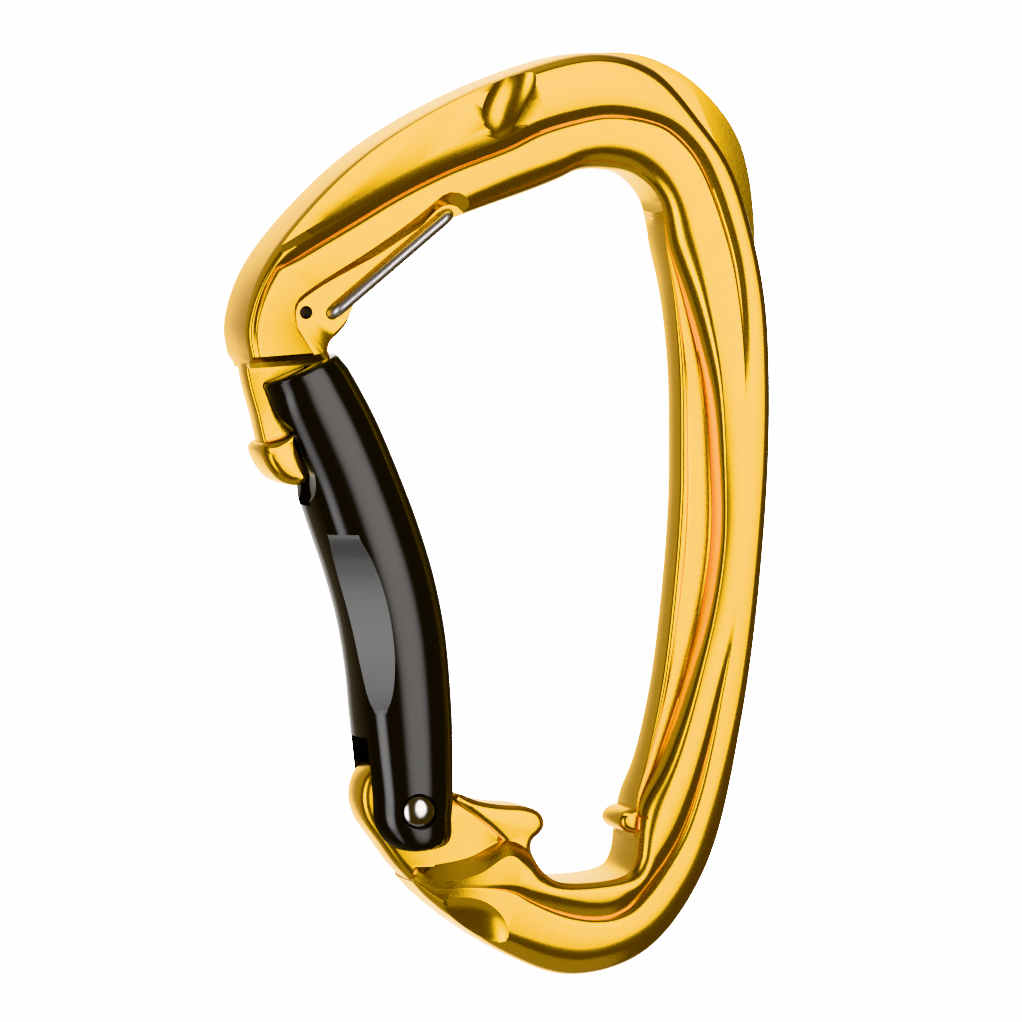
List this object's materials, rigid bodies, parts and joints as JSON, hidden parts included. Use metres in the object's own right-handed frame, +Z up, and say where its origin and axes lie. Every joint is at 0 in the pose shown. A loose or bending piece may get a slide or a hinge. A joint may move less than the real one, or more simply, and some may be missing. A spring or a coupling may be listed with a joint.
{
  "type": "bent-gate carabiner",
  "caption": "Bent-gate sport carabiner with a wide rope basket, a narrow sling basket and a prop wire that can hold the gate open.",
  "frame": {"origin": "seat of the rope basket, on the middle plane of the frame", "axes": "+Z up along the long axis, from the sling basket to the rope basket; +X from the gate to the spine; +Y through the thickness, away from the front face"},
  "size_m": [0.0603, 0.0102, 0.1001],
  "materials": {
    "gold_anodised": "glossy gold anodising",
    "black_anodised": "glossy black anodising",
    "polished_steel": "polished",
    "spring_steel": "drawn wire"
  },
  "bodies": {
    "frame": {"frame": "gold_anodised"},
    "gate": {"gate": "black_anodised", "gate_rivet": "polished_steel", "gate_spring": "spring_steel"},
    "plunger": {"gate_plunger": "polished_steel"},
    "prop_wire": {"prop_wire": "spring_steel"}
  },
  "joints": [
    {"name": "gate_hinge", "type": "hinge", "parent": "frame", "child": "gate", "pos_m": [-0.0231, 0, -0.0684], "axis": [0, 1, 0], "range_deg": [0, 30], "stiffness_Nm_per_rad": 0.35, "springref_deg": -40.11},
    {"name": "plunger_slide", "type": "slide", "parent": "gate", "child": "plunger", "axis": [0, 0, 1], "range_m": [0, 0.0018], "deforming": ["gate_spring"]},
    {"name": "prop_wire_hinge", "type": "hinge", "parent": "frame", "child": "prop_wire", "pos_m": [-0.0323, 0, -0.0151], "axis": [0, 1, 0], "range_deg": [0, 55], "stiffness_Nm_per_rad": 0.0006, "springref_deg": -34.38}
  ],
  "couplings": [
    {"joint": "plunger_slide", "follows": "gate_hinge", "m_per_rad": 0.0032}
  ]
}
